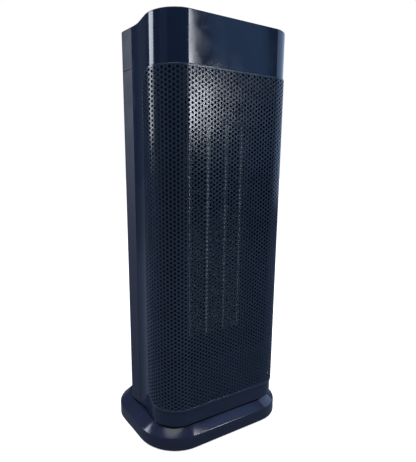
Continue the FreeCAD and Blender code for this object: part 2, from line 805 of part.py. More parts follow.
def make_rear_shells():
    """Rear housing with the intake window and the cord hole, and the cap above its seam."""
    housing = new_body("rear_housing")
    front_edge = size("shell_split") + SEAM
    groove = size("cap_groove")
    step = size("cap_seam") - groove
    outer = new_sketch(housing, "XY_Plane", size("tower_bottom"))
    draw_polygon(outer, rear_outline(0, front_edge))
    add_pad(housing, outer, step - size("tower_bottom"))
    neck = new_sketch(housing, "XY_Plane", step)
    draw_polygon(neck, rear_outline(groove, front_edge))
    add_pad(housing, neck, groove)
    inner = new_sketch(housing, "XY_Plane", size("tower_bottom"))
    draw_polygon(inner, rear_outline(WALL, 0))
    add_pocket(housing, inner, size("cap_seam") - size("tower_bottom"))
    for inset in (WALL, groove, 0):
        round_rear(housing, inset)
    window = new_sketch(housing, "XZ_Plane", -(HALF_DEPTH + CUT_SPARE))
    half = size("door_width") / 2
    draw_polygon(window, box_corners(-half, half, size("door_bottom"), size("door_top")))
    draw_circle(window, CORD_X, CORD_Z, GLAND_HOLE)
    add_pocket(housing, window, WALL + CUT_SPARE * 2)

    cap = new_body("rear_top_cap")
    outer = new_sketch(cap, "XY_Plane", size("cap_seam"))
    draw_polygon(outer, rear_outline(0, front_edge))
    height = size("tower_top") - size("cap_seam")
    add_pad(cap, outer, height)
    inner = new_sketch(cap, "XY_Plane", size("cap_seam"))
    draw_polygon(inner, rear_outline(WALL, 0))
    add_pocket(cap, inner, height - WALL)
    for inset in (WALL, 0):
        round_rear(cap, inset)
    round_top(cap)
    grip = new_sketch(cap, "XZ_Plane", -(HALF_DEPTH + CUT_SPARE))
    draw_polygon(grip, box_corners(-HANDLE_HALF, HANDLE_HALF, HANDLE_LOW, HANDLE_HIGH))
    add_pocket(cap, grip, WALL + CUT_SPARE * 2)


def make_handle_cup():
    """Recess for the fingers behind the opening in the rear top cap."""
    back = HALF_DEPTH - HANDLE_BACK
    outer = solid_box("cup_outside", -HANDLE_HALF, back - HANDLE_REACH, HANDLE_LOW,
                      2 * HANDLE_HALF, HANDLE_REACH, HANDLE_HIGH - HANDLE_LOW)
    inner = solid_box("cup_inside", HANDLE_WALL - HANDLE_HALF, back - HANDLE_REACH + HANDLE_WALL,
                      HANDLE_LOW + HANDLE_WALL, 2 * (HANDLE_HALF - HANDLE_WALL), HANDLE_REACH,
                      HANDLE_HIGH - HANDLE_LOW - 2 * HANDLE_WALL)
    cut("handle_cup", outer, inner)


def make_tower_floor():
    inset = WALL + FLOOR_PLAY
    floor = prism("tower_floor", tower_outline(inset), size("tower_bottom"), FLOOR_THICK,
                  holes=[(0, 0, size("neck_bore"))])
    round_front(floor, inset)
    round_rear(floor, inset)


def make_intake_door():
    """Slotted door that clips into the back, with the dust filter on its inside."""
    half = size("door_width") / 2 - size("door_play")
    bottom = size("door_bottom") + size("door_play")
    height = size("door_top") - size("door_bottom") - size("door_play") * 2
    door = new_body("intake_door")
    plate = new_sketch(door, "XZ_Plane", -HALF_DEPTH)
    draw_polygon(plate, box_corners(-half, half, bottom, bottom + height))
    add_pad(door, plate, WALL)
    slot = new_sketch(door, "XZ_Plane", -HALF_DEPTH - CUT_SPARE)
    low = bottom + DOOR_BORDER
    ends = half - DOOR_SIDE
    for left, right in ((-ends, -DOOR_RIB), (DOOR_RIB, ends)):
        draw_polygon(slot, box_corners(left, right, low, low + size("slot_height")))
    first = add_pocket(door, slot, WALL + CUT_SPARE * 2)
    pattern = door.newObject("PartDesign::LinearPattern", "intake_slots")
    pattern.Originals = [first]
    pattern.Direction = (slot, ["V_Axis"])
    bind(pattern, "Length", size("slot_pitch") * (DOOR_SLOTS - 1))
    pattern.Occurrences = DOOR_SLOTS
    door.Tip = pattern
    DOC.recompute()
    filter_half = half - FILTER_BORDER
    keep(solid_box("dust_filter", -filter_half, HALF_DEPTH - WALL - FILTER_THICK, bottom + FILTER_ENDS,
                   filter_half * 2, FILTER_THICK, height - FILTER_ENDS * 2), "dust_filter")


# ---------------------------------------------------------------- heating element

def bar_x(place):
    """Bars are spaced evenly from one side rail to the other."""
    reach = size("element_width") / 2 - size("heater_bar") / 2
    return reach * (2 * place / (BAR_COUNT - 1) - 1)


def make_element():
    front = -size("element_front")
    depth = size("element_depth")
    half = size("element_width") / 2
    rim = size("element_frame")
    proud = FRAME_PROUD
    outside = solid_box("element_frame_outside", -(half + FRAME_RAIL), front - proud,
                        size("element_bottom") - rim, (half + FRAME_RAIL) * 2, depth + 2 * proud,
                        ELEMENT_HEIGHT + rim * 2)
    inside = solid_box("element_frame_inside", -half, front - 2 * proud, size("element_bottom"),
                       half * 2, depth + 4 * proud, ELEMENT_HEIGHT)
    cut("element_frame", outside, inside)
    bars = []
    fins = []
    for place in range(BAR_COUNT):
        left = bar_x(place) - size("heater_bar") / 2
        bars.append(solid_box(f"bar_{place}", left, front, size("element_bottom"),
                              size("heater_bar"), depth, ELEMENT_HEIGHT))
    group("heating_bars", bars)
    for place in range(BAR_COUNT - 1):
        left = bar_x(place) + size("heater_bar") / 2
        width = bar_x(place + 1) - bar_x(place) - size("heater_bar")
        fins.append(solid_box(f"fin_stack_{place}", left, front, size("element_bottom"),
                              width, depth, ELEMENT_HEIGHT))
    group("heating_fins", fins)
    above = size("element_top") + rim
    keep(solid_box("thermal_fuse", -FUSE_LENGTH / 2, front + 4 * proud, above,
                   FUSE_LENGTH, FUSE_SIDE, FUSE_SIDE), "thermal_fuse")
    ring("thermostat", THERMOSTAT_RADIUS, None, above, THERMOSTAT_HEIGHT, x=THERMOSTAT_X, y=THERMOSTAT_Y)


def make_outlet_baffle():
    """Plate that closes the front chamber behind the element's frame."""
    ahead = size("element_front") - size("element_depth") - FRAME_PROUD
    half = size("element_width") / 2
    baffle = new_body("outlet_baffle")
    sketch = new_sketch(baffle, "XZ_Plane", ahead - BAFFLE_THICK)
    reach = WAIST_X - WALL - BAFFLE_PLAY
    draw_polygon(sketch, box_corners(-reach, reach, BAFFLE_LOW, BAFFLE_HIGH))
    draw_polygon(sketch, box_corners(-half, half, size("element_bottom"), size("element_top")))
    add_pad(baffle, sketch, BAFFLE_THICK)


# ---------------------------------------------------------------- blower

def make_blower_wheel():
    """Cross-flow wheel: three discs joined by a ring of upright blades."""
    wheel = new_body("blower_wheel")
    disc = new_sketch(wheel, "XY_Plane", size("wheel_bottom"))
    draw_circle(disc, 0, 0, size("wheel_radius"))
    add_pad(wheel, disc, DISC_THICK)
    blade = new_sketch(wheel, "XY_Plane", size("wheel_bottom"))
    root = size("wheel_radius").value - BLADE_MARGIN
    tip_x = BLADE_LENGTH * math.sin(BLADE_TILT)
    tip_y = root - BLADE_LENGTH * math.cos(BLADE_TILT)
    draw_polygon(blade, [(-BLADE_HALF, root), (BLADE_HALF, root),
                         (tip_x + BLADE_HALF, tip_y), (tip_x - BLADE_HALF, tip_y)])
    first = add_pad(wheel, blade, size("wheel_height"))
    pattern = wheel.newObject("PartDesign::PolarPattern", "blades")
    pattern.Originals = [first]
    pattern.Axis = (blade, ["N_Axis"])
    pattern.Angle = 360
    pattern.Occurrences = BLADE_COUNT
    wheel.Tip = pattern
    DOC.recompute()
    for level in (size("wheel_bottom") + size("wheel_height") / 2, WHEEL_TOP - DISC_THICK):
        disc = new_sketch(wheel, "XY_Plane", level)
        draw_circle(disc, 0, 0, size("wheel_radius"))
        add_pad(wheel, disc, DISC_THICK)
    bore = new_sketch(wheel, "XY_Plane", size("wheel_bottom"))
    draw_circle(bore, 0, 0, size("shaft_radius"))
    add_pocket(wheel, bore, size("wheel_height"))
    bind(wheel, "Placement.Base.y", size("blower_y"))


def make_blower():
    y = size("blower_y")
    bearing_bore = size("shaft_radius") + size("running_fit")
    ring("blower_shaft", size("shaft_radius"), None, SHAFT_START, WHEEL_TOP + SHAFT_ABOVE - SHAFT_START, y=y)
    ring("blower_motor", BLOWER_MOTOR, bearing_bore, MOTOR_LOW, FRAME_LOW - MOTOR_LOW, y=y)
    plate = box_corners(-FRAME_HALF, FRAME_HALF, FRAME_FRONT, FRAME_BACK)
    top_plate = FRAME_HIGH - SHEET_METAL
    prism("blower_plate_bottom", plate, FRAME_LOW, SHEET_METAL, holes=[(0, y, PLATE_HOLE)])
    prism("blower_plate_top", plate, top_plate, SHEET_METAL, holes=[(0, y, BEARING_RADIUS)])
    ring("top_bearing", BEARING_RADIUS, bearing_bore, top_plate, BEARING_HEIGHT, y=y)
    ring("bearing_mount", MOUNT_RADIUS, BEARING_RADIUS, FRAME_HIGH, MOUNT_HEIGHT, y=y)
    height = FRAME_HIGH - FRAME_LOW - SHEET_METAL * 2
    across, along = SCROLL_WALL
    inner = [(x - across, depth - along) for x, depth in SCROLL]
    outline = ([(SCROLL_FRONT, FRAME_FRONT)] + SCROLL + list(reversed(inner))
               + [(SCROLL_FRONT - across, FRAME_FRONT)])
    prism("scroll_casing", outline, FRAME_LOW + SHEET_METAL, height)
    tongue = [(x, FRAME_FRONT) for x in TONGUE_FRONT] + TONGUE
    prism("blower_tongue", tongue, FRAME_LOW + SHEET_METAL, height)


# ---------------------------------------------------------------- electrics and controls

def make_electrics():
    keep(solid_box("power_board", -60, 44, 44, 100, BOARD_THICK, 48), "power_board")
    parts = [solid_box(f"relay_{place}", -52 + 24 * place, 29, 52, 19, 15, 16) for place in range(3)]
    group("relays", parts)
    gland = new_body("cord_gland")
    for radius, start, length in ((GLAND_SLEEVE, HALF_DEPTH, GLAND_LENGTH),
                                  (GLAND_FLANGE, HALF_DEPTH + GLAND_LIP, GLAND_LIP)):
        sketch = new_sketch(gland, "XZ_Plane", -start)
        draw_circle(sketch, CORD_X, CORD_Z, radius)
        draw_circle(sketch, CORD_X, CORD_Z, CORD_RADIUS)
        add_pad(gland, sketch, length)


def button_x(place):
    return size("button_pitch") * (place - (len(BUTTONS) - 1) / 2)


def key_corners(place, margin):
    """The button's outline, made larger by a margin."""
    x = button_x(place)
    half_x = size("button_length") / 2 + margin
    half_y = size("button_width") / 2 + margin
    return box_corners(x - half_x, x + half_x, KEY_ROW - half_y, KEY_ROW + half_y)


def make_controls():
    top = size("panel_top")
    panel = new_body("control_panel")
    face = new_sketch(panel, "XY_Plane", top - PANEL_THICK)
    draw_polygon(face, box_corners(-PANEL_HALF + KEY_PLAY, PANEL_HALF - KEY_PLAY,
                                   PANEL_FRONT + KEY_PLAY, PANEL_BACK - KEY_PLAY))
    add_pad(panel, face, PANEL_THICK)
    corners = [(side * (PANEL_HALF.value - KEY_PLAY), end.value + way * KEY_PLAY)
               for side in (-1, 1) for end, way in ((PANEL_FRONT, 1), (PANEL_BACK, -1))]
    add_rounding(panel, PANEL_ROUND - KEY_PLAY, upright_near(corners))
    holes = new_sketch(panel, "XY_Plane", top - PANEL_THICK - CUT_SPARE)
    for place in range(len(BUTTONS)):
        draw_polygon(holes, key_corners(place, KEY_PLAY))
    draw_polygon(holes, box_corners(-DISPLAY_HALF_X, DISPLAY_HALF_X,
                                    DISPLAY_Y - DISPLAY_HALF_Y, DISPLAY_Y + DISPLAY_HALF_Y))
    add_pocket(panel, holes, PANEL_THICK + CUT_SPARE * 2)
    keep(solid_box("display_window", -DISPLAY_HALF_X, DISPLAY_Y - DISPLAY_HALF_Y, top - LENS_THICK,
                   2 * DISPLAY_HALF_X, 2 * DISPLAY_HALF_Y, LENS_THICK), "display_window")
    half_x = DISPLAY_HALF_X - MODULE_INSET[0]
    half_y = DISPLAY_HALF_Y - MODULE_INSET[1]
    keep(solid_box("display_module", -half_x, DISPLAY_Y - half_y, top - CONTROL_STACK,
                   2 * half_x, 2 * half_y, MODULE_HEIGHT), "display_module")
    for place, name in enumerate(BUTTONS):
        button = new_body("button_" + name)
        key = new_sketch(button, "XY_Plane", top - KEY_DEPTH)
        draw_polygon(key, key_corners(place, 0))
        add_pad(button, key, size("button_top") - top + KEY_DEPTH)
        flange = new_sketch(button, "XY_Plane", top - KEY_DEPTH)
        draw_polygon(flange, key_corners(place, KEY_FLANGE + KEY_PLAY))
        add_pad(button, flange, KEY_FLANGE_THICK)
    half = TACT_SIDE / 2
    switches = [solid_box(f"tact_{place}", button_x(place) - half, KEY_ROW - half, top - CONTROL_STACK,
                          TACT_SIDE, TACT_SIDE, TACT_HEIGHT) for place in range(len(BUTTONS))]
    group("tact_switches", switches)
    keep(solid_box("control_board", -70, PANEL_FRONT + 2, top - CONTROL_STACK - BOARD_THICK,
                   140, 36, BOARD_THICK), "control_board")


def make_rear_screws():
    """Heads of the screws that hold the rear housing, set into its back face."""
    members = []
    for place, (x, height) in enumerate(REAR_SCREW_SPOTS):
        screw = DOC.addObject("Part::Cylinder", f"rear_screw_{place}")
        bind(screw, "Radius", REAR_SCREW)
        bind(screw, "Height", REAR_SCREW_HEAD)
        screw.Placement.Rotation = FreeCAD.Rotation(FreeCAD.Vector(1, 0, 0), -90)
        for way, amount in (("x", x), ("y", HALF_DEPTH), ("z", height)):
            bind(screw, "Placement.Base." + way, amount)
        members.append(screw)
    group("rear_screws", members)


# ---------------------------------------------------------------- build, check and write

make_base_cover()
make_base_plate()
make_base_fittings()
make_tip_plunger()
make_swivel()
make_swing_drive()
make_front_bezel()
make_front_grille()
make_front_liner()
make_rear_shells()
make_handle_cup()
make_tower_floor()
make_intake_door()
make_element()
make_outlet_baffle()
make_blower_wheel()
make_blower()
make_electrics()
make_controls()
make_rear_screws()

DOC.recompute()
for item in DOC.Objects:
    if {"Invalid", "Error"} & set(item.State):
        raise RuntimeError(f"{item.Label} failed: {item.State}")
os.makedirs("parts", exist_ok=True)
for item in PIECES:
    shape = item.Shape
    if shape.isNull() or not shape.isValid() or not shape.Solids:
        raise RuntimeError(item.Label + " has no sound solid")
    shape.exportStep(os.path.join("parts", item.Label + ".step"))
    print(f"{item.Label:22s} solids {len(shape.Solids)} volume {shape.Volume:.0f}")
print(len(PIECES), "sub-parts")
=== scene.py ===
import json
import math

import bmesh
import bpy
from mathutils import Matrix, Vector


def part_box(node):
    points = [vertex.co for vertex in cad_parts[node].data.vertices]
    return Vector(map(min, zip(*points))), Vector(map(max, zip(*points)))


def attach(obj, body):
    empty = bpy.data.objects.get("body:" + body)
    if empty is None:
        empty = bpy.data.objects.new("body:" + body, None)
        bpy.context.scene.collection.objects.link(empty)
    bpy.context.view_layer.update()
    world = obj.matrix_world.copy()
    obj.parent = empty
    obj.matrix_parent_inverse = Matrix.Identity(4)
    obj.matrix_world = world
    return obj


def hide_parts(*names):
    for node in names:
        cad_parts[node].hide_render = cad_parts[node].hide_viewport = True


# The looks of a ceramic tower heater: a perforated front that wraps round both corners of a
# gloss tower, the heating element behind it, a satin back and an oval base. Metres throughout;
# the front faces -Y and +Z is up.

bl_info = {
    "name": "Ceramic Tower Heater",
    "version": (1, 0, 0),
    "blender": (4, 5, 0),
    "location": "View3D > Sidebar > Heater",
    "description": "Builds the visible pieces and finishes of a ceramic tower heater",
    "category": "Add Mesh",
}

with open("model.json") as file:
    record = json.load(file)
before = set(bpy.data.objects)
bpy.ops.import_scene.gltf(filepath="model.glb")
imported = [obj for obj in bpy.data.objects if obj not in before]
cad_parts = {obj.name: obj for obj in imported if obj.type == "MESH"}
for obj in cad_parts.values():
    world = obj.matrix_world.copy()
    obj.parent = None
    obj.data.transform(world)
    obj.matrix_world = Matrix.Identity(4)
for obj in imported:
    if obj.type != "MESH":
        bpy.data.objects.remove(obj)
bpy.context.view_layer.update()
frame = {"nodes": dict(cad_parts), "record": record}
MM = 0.001
SHARP = math.radians(32)  # edges that turn by more than this are drawn sharp and get rounded


def linear(code):
    """Linear colour of an sRGB hex value such as "#1b2a44"."""
    parts = [int(code[place:place + 2], 16) / 255 for place in (1, 3, 5)]
    bright = [((part + 0.055) / 1.055) ** 2.4 if part > 0.04045 else part / 12.92 for part in parts]
    return (*bright, 1.0)


# ---------------------------------------------------------------- sizes and colours

def length(label, meaning, default):
    """A length property in metres whose default is given in millimetres."""
    return bpy.props.FloatProperty(name=label, description=meaning, default=default * MM,
                                   subtype="DISTANCE", unit="LENGTH", precision=5)


def colour(label, meaning, code):
    """A colour property whose default is an sRGB hex value."""
    return bpy.props.FloatVectorProperty(name=label, description=meaning, default=linear(code),
                                         subtype="COLOR", size=4, min=0, max=1)


class GrilleSizes(bpy.types.PropertyGroup):
    pitch: length("Hole pitch", "Distance between neighbouring holes", 5.5)
    hole: length("Hole diameter", "Diameter of one round hole", 3.9)
    sheet: length("Sheet", "Thickness of the perforated sheet", 1.1)
    bend: length("Bend radius", "Outside radius of the two front corners", 37.8)
    corner: length("Corner radius", "Radius of the sheet's own corners on the two sides", 26.5)
    rim: length("Rim", "Width of the plain folded rim", 2.4)
    toe_in: bpy.props.FloatProperty(
        name="Toe-in", description="How far the sides lean towards the waist, seen from above",
        default=math.radians(9.2), subtype="ANGLE")


class BaseSizes(bpy.types.PropertyGroup):
    corner: length("Corner radius", "Radius of the base in plan", 57)
    knee: length("Upright wall", "Height where the upright wall ends", 19.5)
    side_run: length("Side shoulder", "How far the shoulder comes in at the sides", 15.8)
    front_run: length("Front shoulder", "How far the shoulder comes in at front and back", 10.3)
    knee_round: length("Wall edge", "Rounding where the upright wall meets the shoulder", 1.3)


class ElementSizes(bpy.types.PropertyGroup):
    fin_pitch: length("Fin pitch", "Height of one fold of the fin strip", 2.3)
    fin_gauge: length("Fin gauge", "Thickness of the fin strip", 0.3)
    bar_wall: length("Bar wall", "How far the grooves are cut into the bar fronts", 0.8)


class FinishColours(bpy.types.PropertyGroup):
    gloss: colour("Gloss shell", "Front shell and control panel", "#15233a")
    satin: colour("Satin shell", "Rear housing, rear cap, finger recess and intake door", "#262b42")
    base: colour("Base", "Base cover", "#1f253b")
    grille: colour("Grille", "Perforated front", "#2a394d")


class HeaterSettings(bpy.types.PropertyGroup):
    grille: bpy.props.PointerProperty(type=GrilleSizes, name="Grille", description="Perforated front")
    base: bpy.props.PointerProperty(type=BaseSizes, name="Base", description="Oval base")
    element: bpy.props.PointerProperty(type=ElementSizes, name="Element", description="Heating element")
    colours: bpy.props.PointerProperty(type=FinishColours, name="Colours", description="Shell colours")


# ---------------------------------------------------------------- materials

def add_node(tree, kind, inputs=None, **settings):
    """One node with its settings; an input given as a socket is linked, any other is set."""
    node = tree.nodes.new(kind)
    for name, value in settings.items():
        setattr(node, name, value)
    for name, value in (inputs or {}).items():
        if isinstance(value, bpy.types.NodeSocket):
            tree.links.new(value, node.inputs[name])
        else:
            node.inputs[name].default_value = value
    return node


def start_material(name):
    """An empty material and its tree, with the object's own coordinates."""
    made = bpy.data.materials.new(name)
    made.use_nodes = True
    tree = made.node_tree
    tree.nodes.clear()
    place = add_node(tree, "ShaderNodeTexCoord").outputs["Object"]
    return made, tree, place


def end_material(made, tree, inputs):
    shader = add_node(tree, "ShaderNodeBsdfPrincipled", inputs)
    add_node(tree, "ShaderNodeOutputMaterial", {"Surface": shader.outputs["BSDF"]})
    return made


NOISE_LOW, NOISE_HIGH = 0.3, 0.7  # most values of a noise texture lie between these
WAVE_REPEAT = math.tau / 20  # width of one band of a wave texture at scale 1


def per_grain(size_mm):
    """Texture scale that gives features of about this size."""
    return 1 / (size_mm * MM)


def tinted(tree, place, base, size_mm, spread):
    """The base colour drifting a little darker and lighter over patches of one size."""
    noise = add_node(tree, "ShaderNodeTexNoise", {
        "Vector": place, "Scale": per_grain(size_mm), "Detail": 3.0})
    ramp = add_node(tree, "ShaderNodeValToRGB", {"Fac": noise.outputs["Fac"]})
    for stop, factor in zip(ramp.color_ramp.elements, (1 - spread, 1 + spread)):
        stop.color = (*[min(part * factor, 1) for part in base[:3]], 1)
    ramp.color_ramp.elements[0].position = NOISE_LOW
    ramp.color_ramp.elements[1].position = NOISE_HIGH
    return ramp.outputs["Color"]


def worn(tree, place, size_mm, low, high):
    """Roughness that wanders between two values, as handling leaves it."""
    noise = add_node(tree, "ShaderNodeTexNoise", {
        "Vector": place, "Scale": per_grain(size_mm), "Detail": 4.0})
    reach = add_node(tree, "ShaderNodeMapRange", {
        "Value": noise.outputs["Fac"], "From Min": NOISE_LOW, "From Max": NOISE_HIGH,
        "To Min": low, "To Max": high})
    return reach.outputs["Result"]


def grain(tree, place, size_mm, height_mm, strength):
    """Bump of fine moulded or coated grain."""
    noise = add_node(tree, "ShaderNodeTexNoise", {
        "Vector": place, "Scale": per_grain(size_mm), "Detail": 2.0})
    bump = add_node(tree, "ShaderNodeBump", {"Height": noise.outputs["Fac"], "Strength": strength,
                                             "Distance": height_mm * MM})
    return bump.outputs["Normal"]


def gloss_abs(base):
    """High-gloss ABS from a polished tool: mirror-like, with a faint long-wave orange peel."""
    made, tree, place = start_material("gloss_abs")
    return end_material(made, tree, {
        "Base Color": tinted(tree, place, base, 60, 0.06),
        "Roughness": worn(tree, place, 18, 0.05, 0.13),
        "IOR": 1.53,
        "Normal": grain(tree, place, 9, 0.02, 0.25)})


def spark_eroded_abs(base):
    """Satin ABS from a spark-eroded tool: a fine even grain that blurs every reflection."""
    made, tree, place = start_material("spark_eroded_abs")
    return end_material(made, tree, {
        "Base Color": tinted(tree, place, base, 40, 0.08),
        "Roughness": worn(tree, place, 25, 0.5, 0.6),
        "IOR": 1.53,
        "Normal": grain(tree, place, 0.7, 0.05, 0.35)})


def semi_gloss_abs(base):
    """Semi-gloss ABS of the base: broad soft reflections, rubbed a little duller in patches."""
    made, tree, place = start_material("semi_gloss_abs")
    return end_material(made, tree, {
        "Base Color": tinted(tree, place, base, 50, 0.06),
        "Roughness": worn(tree, place, 22, 0.1, 0.16),
        "IOR": 1.53,
        "Normal": grain(tree, place, 1.2, 0.02, 0.1)})


def powder_coat(base):
    """Semi-gloss powder coat on perforated steel: soft sheen with a slight pebbled skin."""
    made, tree, place = start_material("powder_coat")
    return end_material(made, tree, {
        "Base Color": tinted(tree, place, base, 30, 0.08),
        "Roughness": worn(tree, place, 20, 0.13, 0.22),
        "IOR": 1.5,
        "Normal": grain(tree, place, 0.8, 0.03, 0.3)})


def moulded_polymer(name, code, roughness, grain_mm=0.8):
    """Plain moulded polymer such as polypropylene, acetal or PBT: even colour, fine grain."""
    made, tree, place = start_material(name)
    return end_material(made, tree, {
        "Base Color": tinted(tree, place, linear(code), 15, 0.1),
        "Roughness": worn(tree, place, 10, roughness - 0.06, roughness + 0.06),
        "IOR": 1.5,
        "Normal": grain(tree, place, grain_mm, 0.04, 0.4)})


def nitrile_rubber():
    """Moulded nitrile rubber: dead matte, slightly dusty grain."""
    made, tree, place = start_material("nitrile_rubber")
    return end_material(made, tree, {
        "Base Color": tinted(tree, place, linear("#1c1c1e"), 6, 0.25),
        "Roughness": worn(tree, place, 5, 0.75, 0.92),
        "Normal": grain(tree, place, 0.5, 0.06, 0.6)})


def rolled_aluminium():
    """Bare rolled aluminium strip: fine lines along the rolling and a dull silver sheen."""
    made, tree, place = start_material("rolled_aluminium")
    stretch = add_node(tree, "ShaderNodeMapping", {"Vector": place, "Scale": (1, 1, 0.06)})
    lines = stretch.outputs["Vector"]
    return end_material(made, tree, {
        "Base Color": tinted(tree, place, linear("#cfd8ca"), 12, 0.12),
        "Metallic": 0.6,
        "Roughness": worn(tree, lines, 0.6, 0.45, 0.65),
        "Normal": grain(tree, lines, 0.5, 0.02, 0.4)})


def zinc_plate(name, code, spangle_mm):
    """Zinc on steel: a cool grey metal broken into faint crystals."""
    made, tree, place = start_material(name)
    cells = add_node(tree, "ShaderNodeTexVoronoi", {"Vector": place, "Scale": per_grain(spangle_mm)})
    shade = add_node(tree, "ShaderNodeMapRange", {
        "Value": cells.outputs["Distance"], "To Min": 0.28, "To Max": 0.5})
    return end_material(made, tree, {
        "Base Color": tinted(tree, place, linear(code), spangle_mm, 0.12),
        "Metallic": 1.0,
        "Roughness": shade.outputs["Result"],
        "Normal": grain(tree, place, 0.6, 0.01, 0.3)})


def sintered_bronze():
    """Sintered bronze: warm metal with open pores."""
    made, tree, place = start_material("sintered_bronze")
    return end_material(made, tree, {
        "Base Color": tinted(tree, place, linear("#a07a45"), 1.5, 0.2),
        "Metallic": 1.0,
        "Roughness": worn(tree, place, 2, 0.4, 0.6),
        "Normal": grain(tree, place, 0.4, 0.05, 0.6)})


def steatite():
    """Unglazed steatite ceramic: chalky white with fine speckle."""
    made, tree, place = start_material("steatite")
    return end_material(made, tree, {
        "Base Color": tinted(tree, place, linear("#e4e0d4"), 1.2, 0.06),
        "Roughness": worn(tree, place, 4, 0.6, 0.8),
        "Normal": grain(tree, place, 0.4, 0.03, 0.4)})


def solder_mask():
    """Green solder mask over glass laminate: glossy, with the weave faintly below."""
    made, tree, place = start_material("solder_mask")
    weave = add_node(tree, "ShaderNodeTexWave", {
        "Vector": place, "Scale": per_grain(4), "Distortion": 0.4})
    bump = add_node(tree, "ShaderNodeBump", {
        "Height": weave.outputs["Fac"], "Strength": 0.2, "Distance": 0.01 * MM})
    return end_material(made, tree, {
        "Base Color": tinted(tree, place, linear("#14502c"), 5, 0.15),
        "Roughness": worn(tree, place, 8, 0.18, 0.3),
        "Normal": bump.outputs["Normal"]})


def smoked_acrylic():
    """Smoked acrylic window: black and polished, with hair-fine wiping marks."""
    made, tree, place = start_material("smoked_acrylic")
    return end_material(made, tree, {
        "Base Color": tinted(tree, place, linear("#0a0b10"), 8, 0.1),
        "Roughness": worn(tree, place, 7, 0.02, 0.07),
        "IOR": 1.49,
        "Coat Weight": 0.4,
        "Coat Roughness": 0.03})


def woven_nylon():
    """Woven nylon dust mesh: a square weave of black threads 2 mm apart, coarse enough to show."""
    made, tree, place = start_material("woven_nylon")
    threads = {"Vector": place, "Scale": WAVE_REPEAT * per_grain(2)}
    across = add_node(tree, "ShaderNodeTexWave", threads, bands_direction="X")
    upright = add_node(tree, "ShaderNodeTexWave", threads, bands_direction="Z")
    both = add_node(tree, "ShaderNodeMath", {
        0: across.outputs["Fac"], 1: upright.outputs["Fac"]}, operation="MULTIPLY")
    ramp = add_node(tree, "ShaderNodeValToRGB", {"Fac": both.outputs["Value"]})
    ramp.color_ramp.elements[0].color = linear("#050506")
    ramp.color_ramp.elements[1].color = linear("#3c3e44")
    bump = add_node(tree, "ShaderNodeBump", {
        "Height": both.outputs["Value"], "Strength": 0.8, "Distance": 0.2 * MM})
    return end_material(made, tree, {
        "Base Color": ramp.outputs["Color"],
        "Roughness": worn(tree, place, 9, 0.5, 0.7),
        "Normal": bump.outputs["Normal"]})


def stage_paint():
    """Matt white stage floor, seen white but passing little light on to the glossy shells."""
    made, tree, place = start_material("stage_paint")
    paint = add_node(tree, "ShaderNodeBsdfDiffuse", {
        "Color": tinted(tree, place, linear("#f6f6f6"), 400, 0.01)})
    glow = add_node(tree, "ShaderNodeEmission", {"Color": (1, 1, 1, 1), "Strength": 0.52})
    white = add_node(tree, "ShaderNodeAddShader", {0: paint.outputs[0], 1: glow.outputs[0]})
    dim = add_node(tree, "ShaderNodeBsdfDiffuse", {"Color": linear("#6a707b")})
    seen = add_node(tree, "ShaderNodeLightPath").outputs["Is Camera Ray"]
    mix = add_node(tree, "ShaderNodeMixShader", {0: seen, 1: dim.outputs[0], 2: white.outputs[0]})
    add_node(tree, "ShaderNodeOutputMaterial", {"Surface": mix.outputs[0]})
    return made


FINISHES = {}  # material slot of the design -> material


def make_finishes(colours):
    """Make one material for each slot of the design."""
    FINISHES.update({
        "shell_gloss": gloss_abs(colours.gloss),
        "shell_satin": spark_eroded_abs(colours.satin),
        "base_plastic": semi_gloss_abs(colours.base),
        "grille_metal": powder_coat(colours.grille),
        "key_plastic": moulded_polymer("key_polycarbonate", "#3b4660", 0.32),
        "inner_plastic": moulded_polymer("black_polypropylene", "#141416", 0.5),
        "heat_plastic": moulded_polymer("black_pbt", "#101012", 0.55),
        "switch_plastic": moulded_polymer("black_nylon", "#0e0e10", 0.45),
        "acetal": moulded_polymer("white_acetal", "#d8d6cc", 0.35),
        "galvanised": zinc_plate("galvanised_sheet", "#a6abb0", 7),
        "steel": zinc_plate("zinc_plated_steel", "#9a9da2", 2),
        "motor_steel": zinc_plate("motor_lamination_steel", "#6c7076", 3),
        "aluminium": rolled_aluminium(),
        "brass": sintered_bronze(),
        "rubber": nitrile_rubber(),
        "ceramic_white": steatite(),
        "circuit_board": solder_mask(),
        "smoked_window": smoked_acrylic(),
        "filter_mesh": woven_nylon(),
    })


SLOTS = {part["node"]: part["material_slot"] for part in frame["record"]["subparts"]}
BODIES = {node: body for body, nodes in frame["record"]["behaviour"]["bodies"].items() for node in nodes}


# ---------------------------------------------------------------- piece helpers

def add_piece(shape, name, stands_for, smooth=True):
    """Turn a bmesh into a finished piece that rides with, and stands for, CAD nodes."""
    mesh = bpy.data.meshes.new(name)
    shape.to_mesh(mesh)
    shape.free()
    if smooth:
        mesh.shade_smooth()
        mesh.set_sharp_from_angle(angle=SHARP)
    else:
        mesh.shade_flat()
    piece = bpy.data.objects.new(name, mesh)
    bpy.context.scene.collection.objects.link(piece)
    node = stands_for[0]
    mesh.materials.append(FINISHES[SLOTS[node]])
    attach(piece, BODIES[node])
    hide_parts(*stands_for)
    return piece


def soften(piece, radius_mm, segments=3):
    """Round the sharp edges of a piece, as a moulding or a pressing has them."""
    bevel = piece.modifiers.new("soft_edges", "BEVEL")
    bevel.width = radius_mm * MM
    bevel.segments = segments
    bevel.limit_method = "ANGLE"
    bevel.angle_limit = SHARP
    bevel.harden_normals = True
    return piece


def merged_copy(node):
    """The CAD node's surface as one joined mesh, with its flat faces made whole."""
    shape = bmesh.new()
    shape.from_mesh(frame["nodes"][node].data)
    bmesh.ops.remove_doubles(shape, verts=shape.verts, dist=0.002 * MM)
    bmesh.ops.dissolve_limit(shape, angle_limit=math.radians(0.2), verts=shape.verts, edges=shape.edges)
    return shape


